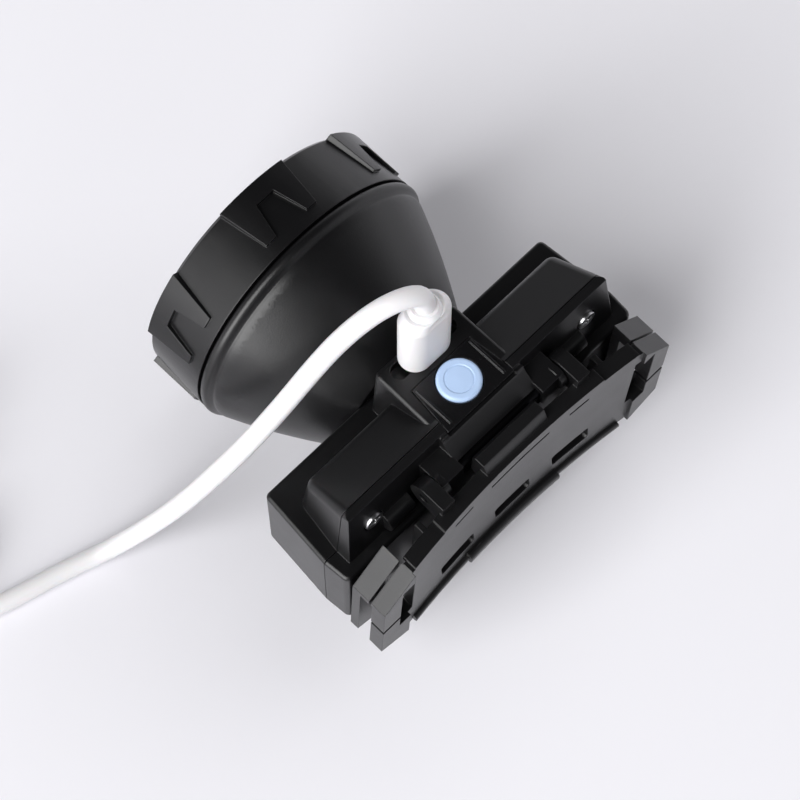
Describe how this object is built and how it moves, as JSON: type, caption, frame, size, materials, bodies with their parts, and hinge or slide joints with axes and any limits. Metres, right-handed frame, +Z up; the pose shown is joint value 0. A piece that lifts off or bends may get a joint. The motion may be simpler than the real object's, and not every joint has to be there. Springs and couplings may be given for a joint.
{
  "type": "cap lamp",
  "caption": "Rechargeable cap lamp with a bowl-shaped head on a battery case, a push button, a hinged forehead bracket for a strap, and a charging cable in its top port.",
  "frame": {"origin": "on the ground, under the middle of the lamp without its free cable", "axes": "+Z up; the beam leaves along -Y and the forehead bracket is at +Y; X runs along the battery case and the hinge"},
  "size_m": [0.1686, 0.1245, 0.091],
  "materials": {
    "case_plastic": "fine satin moulding",
    "housing_plastic": "fine grained satin",
    "bezel_plastic": "fine grained satin",
    "bracket_plastic": "satin moulding",
    "panel_plastic": "semi-gloss moulding",
    "button_blue": "pale blue, soft satin",
    "lens_glass": "clear polished",
    "seal_rubber": "soft matt",
    "mirror_finish": "vacuum metallised",
    "board": "solder-masked laminate",
    "emitter": "phosphor under a clear dome",
    "sink_metal": "die-cast",
    "screw_steel": "plated steel",
    "cell_wrap": "shrink sleeve",
    "contact_metal": "nickel plated",
    "switch_plastic": "moulded",
    "wire_skin": "insulation",
    "pin_steel": "dark steel",
    "cable_white": "soft white jacket",
    "tie_white": "soft band"
  },
  "bodies": {
    "root": {"front_case": "case_plastic", "rear_case": "case_plastic", "lamp_housing": "housing_plastic", "button_panel": "panel_plastic", "reflector": "mirror_finish", "led_board": "board", "led_emitter": "emitter", "heat_sink": "sink_metal", "case_screws": "screw_steel", "battery_cell": "cell_wrap", "contact_positive": "contact_metal", "contact_negative": "contact_metal", "charge_board": "board", "riser_board": "board", "switch_board": "board", "usb_socket": "contact_metal", "tact_switch": "switch_plastic", "lead_wires": "wire_skin", "hinge_pin": "pin_steel", "usb_plug": "cable_white", "plug_relief": "cable_white", "plug_tongue": "contact_metal", "cable_tube": "cable_white", "cable_tail": "cable_white", "cable_coil": "cable_white", "coil_tie": "tie_white", "supply_plug": "cable_white", "supply_contact": "contact_metal"},
    "lens_carrier": {"front_lens": "lens_glass", "lens_gasket": "seal_rubber"},
    "bezel": {"bezel_ring": "bezel_plastic"},
    "button": {"button_cap": "button_blue"},
    "bracket": {"forehead_bracket": "bracket_plastic"}
  },
  "joints": [
    {"name": "bezel_advance", "type": "slide", "parent": "root", "child": "lens_carrier", "axis": [0, -1, 0], "range_m": [0, 0.009]},
    {"name": "bezel_turn", "type": "hinge", "parent": "lens_carrier", "child": "bezel", "pos_m": [0, -0.03, 0.0315], "axis": [0, -1, 0], "range_deg": [0, 1080]},
    {"name": "button_press", "type": "slide", "parent": "root", "child": "button", "axis": [0, 0, -1], "range_m": [0, 0.0008], "stiffness_N_per_m": 1500, "springref_m": -0.0004},
    {"name": "bracket_tilt", "type": "hinge", "parent": "root", "child": "bracket", "pos_m": [0, 0.02965, 0.0537], "axis": [1, 0, 0], "range_deg": [0, 45]}
  ],
  "couplings": [
    {"joint": "bezel_advance", "follows": "bezel_turn", "m_per_rad": 0.00047746}
  ]
}
